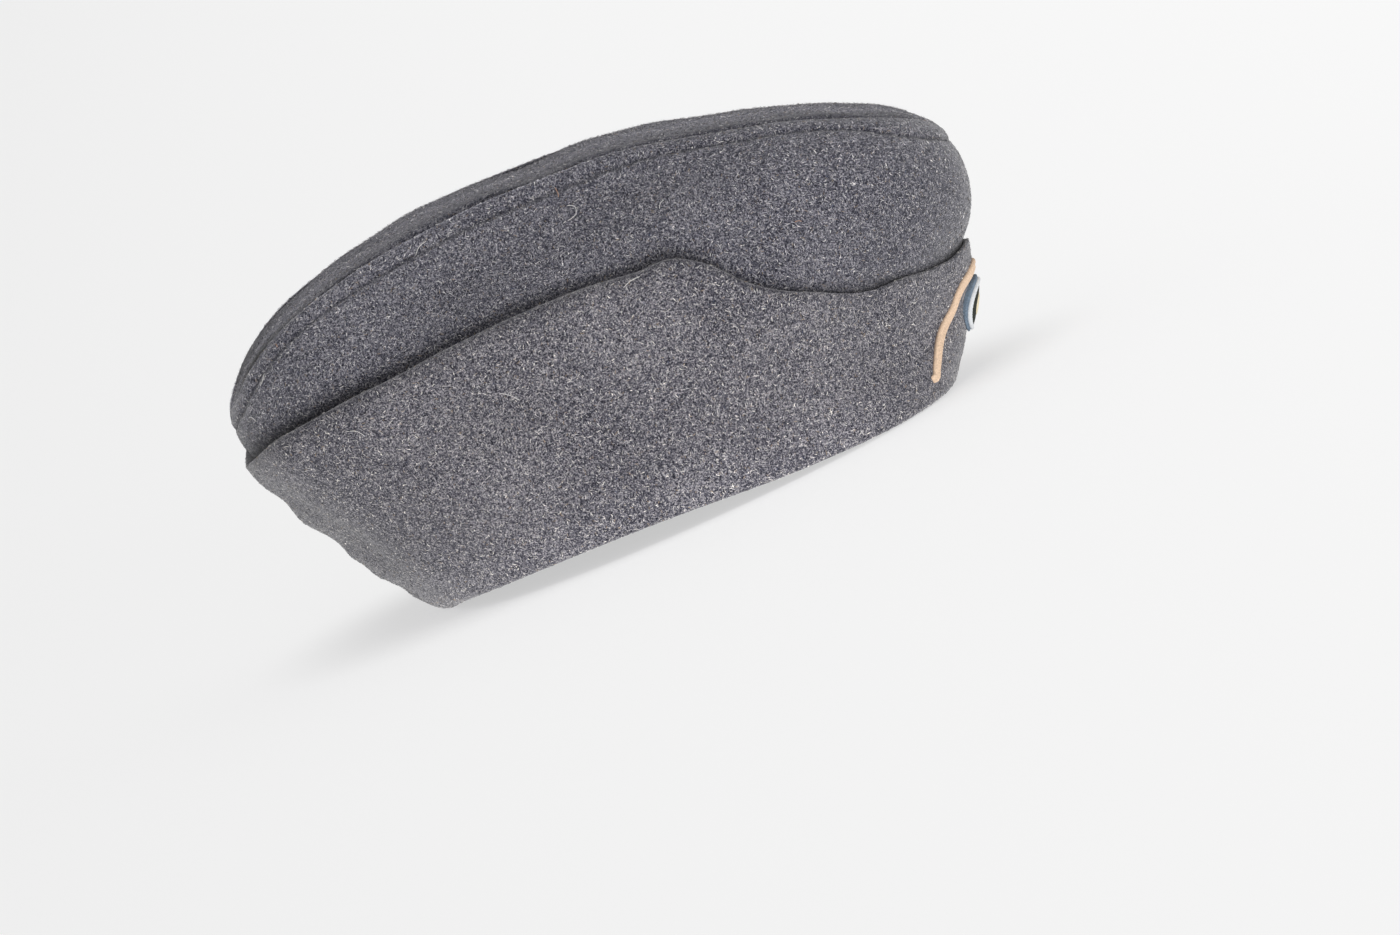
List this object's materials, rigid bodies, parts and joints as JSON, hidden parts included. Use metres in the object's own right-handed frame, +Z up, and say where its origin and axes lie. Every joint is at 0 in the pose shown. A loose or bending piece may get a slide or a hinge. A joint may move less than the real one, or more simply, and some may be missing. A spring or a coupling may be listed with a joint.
{
  "type": "side cap",
  "caption": "Soft wool side cap with a turn-up flap that dips at the front, a sewn top panel, a flat braid chevron and a round cockade.",
  "frame": {"origin": "middle of the cap's length and width, on the plane that its rim rests on", "axes": "+X toward the front, +Y toward the wearer's left, +Z up"},
  "size_m": [0.2924, 0.1576, 0.1402],
  "materials": {
    "wool_cloth": "heathered blue-grey wool with a raised nap",
    "braid": "flat tan braid",
    "cockade_blue": "blue-grey cloth",
    "cockade_white": "white cloth",
    "cockade_black": "near-black cloth",
    "cockade_cream": "cream cloth"
  },
  "bodies": {
    "root": {"crown_right": "wool_cloth", "crown_left": "wool_cloth", "crown_top": "wool_cloth", "flap_right": "wool_cloth", "flap_left": "wool_cloth", "braid_chevron": "braid", "cockade_base": "cockade_blue", "cockade_ring": "cockade_white", "cockade_inner_ring": "cockade_black", "cockade_boss": "cockade_cream"}
  },
  "joints": []
}
